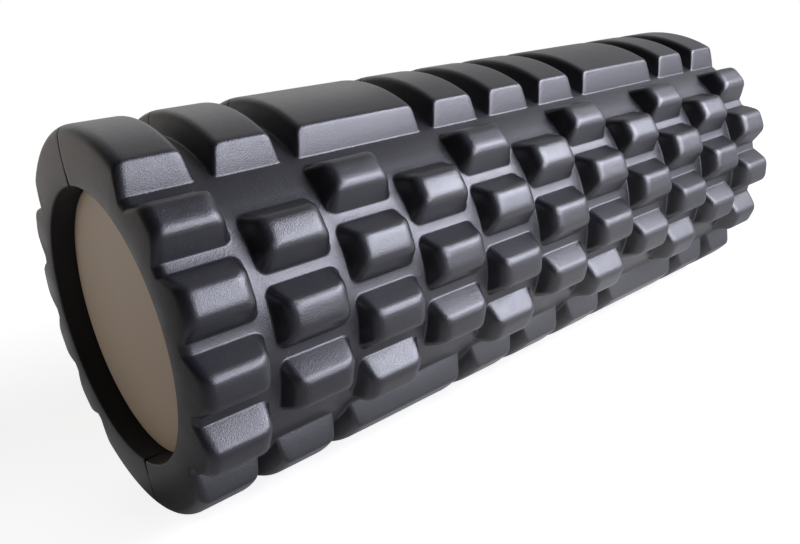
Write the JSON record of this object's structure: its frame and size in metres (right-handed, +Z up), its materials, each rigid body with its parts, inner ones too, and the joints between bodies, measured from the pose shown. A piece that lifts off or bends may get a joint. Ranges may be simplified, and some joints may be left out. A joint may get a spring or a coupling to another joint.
{
  "type": "massage roller",
  "caption": "Cylindrical massage foam roller with a grid of raised rounded blocks between two wide split strips, on a hollow capped core.",
  "frame": {"origin": "centre of the roller, on its axis at mid length, which is the middle of the bounding box", "axes": "+X along the roller's axis, from the near end of the picture to the far end; +Z up through the middle of the upper wide strip and its glue seam; -Y towards the side the picture shows"},
  "size_m": [0.34, 0.1404, 0.14],
  "materials": {
    "eva_foam": "satin charcoal moulded EVA foam with a fine leathery grain",
    "tube_plastic": "plain extruded",
    "cap_plastic": "smooth grey-beige, slightly satin"
  },
  "bodies": {
    "root": {"foam_shell_front": "eva_foam", "foam_shell_back": "eva_foam", "core_tube": "tube_plastic", "end_cap_near": "cap_plastic", "end_cap_far": "cap_plastic"}
  },
  "joints": []
}
